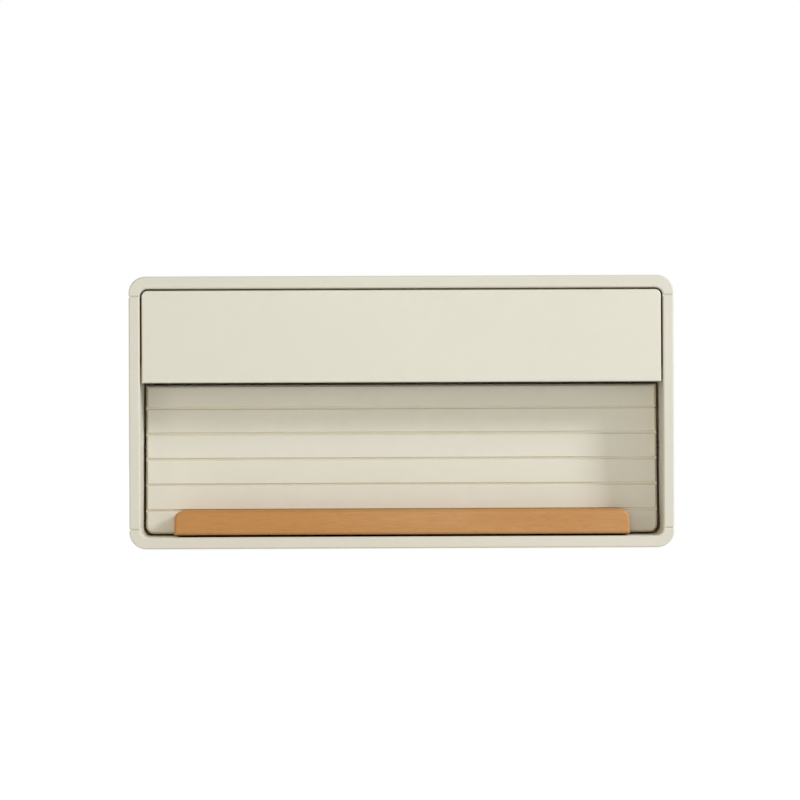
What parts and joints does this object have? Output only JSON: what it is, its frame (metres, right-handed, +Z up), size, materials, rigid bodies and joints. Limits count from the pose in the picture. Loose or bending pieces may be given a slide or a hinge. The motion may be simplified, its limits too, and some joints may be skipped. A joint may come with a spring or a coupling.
{
  "type": "roll-top bread box",
  "caption": "Lacquered wooden bread box: a round-cornered case, a fixed fascia and a slatted roll top with a beech handle that rolls up behind the fascia.",
  "frame": {"origin": "middle of the footprint, on the surface that the felt pads stand on", "axes": "+X to the right as seen from the front, +Y from the roll top to the back panel, +Z up"},
  "size_m": [0.42, 0.26, 0.211],
  "materials": {
    "cream_lacquer": "satin cream lacquer on smooth board",
    "beech": "clear oiled beech",
    "nylon": "moulded nylon",
    "rubber": "moulded rubber",
    "steel": "zinc-plated steel",
    "felt": "pressed felt"
  },
  "bodies": {
    "case": {"top_cover": "cream_lacquer", "base": "cream_lacquer", "left_side": "cream_lacquer", "right_side": "cream_lacquer", "back_panel": "cream_lacquer", "fascia": "cream_lacquer", "left_fascia_cleat": "beech", "right_fascia_cleat": "beech", "left_open_stop": "rubber", "right_open_stop": "rubber", "closing_bumpers": "rubber", "fascia_screws": "steel", "cleat_screws": "steel", "back_screws": "steel", "cover_dowels": "beech", "base_dowels": "beech", "front_left_pad": "felt", "front_right_pad": "felt", "rear_left_pad": "felt", "rear_right_pad": "felt"},
    "roll_top": {"slat_1": "cream_lacquer", "slat_2": "cream_lacquer", "slat_3": "cream_lacquer", "slat_4": "cream_lacquer", "slat_5": "cream_lacquer", "lead_slat": "cream_lacquer", "left_batten": "beech", "right_batten": "beech", "batten_screws": "steel", "left_guide_pins": "nylon", "right_guide_pins": "nylon", "handle": "beech", "handle_screws": "steel"}
  },
  "joints": [
    {"name": "roll_top_turn", "type": "hinge", "parent": "case", "child": "roll_top", "pos_m": [0, 0.03917, 0.0407], "axis": [-1, 0, 0], "range_deg": [0, 48]}
  ]
}
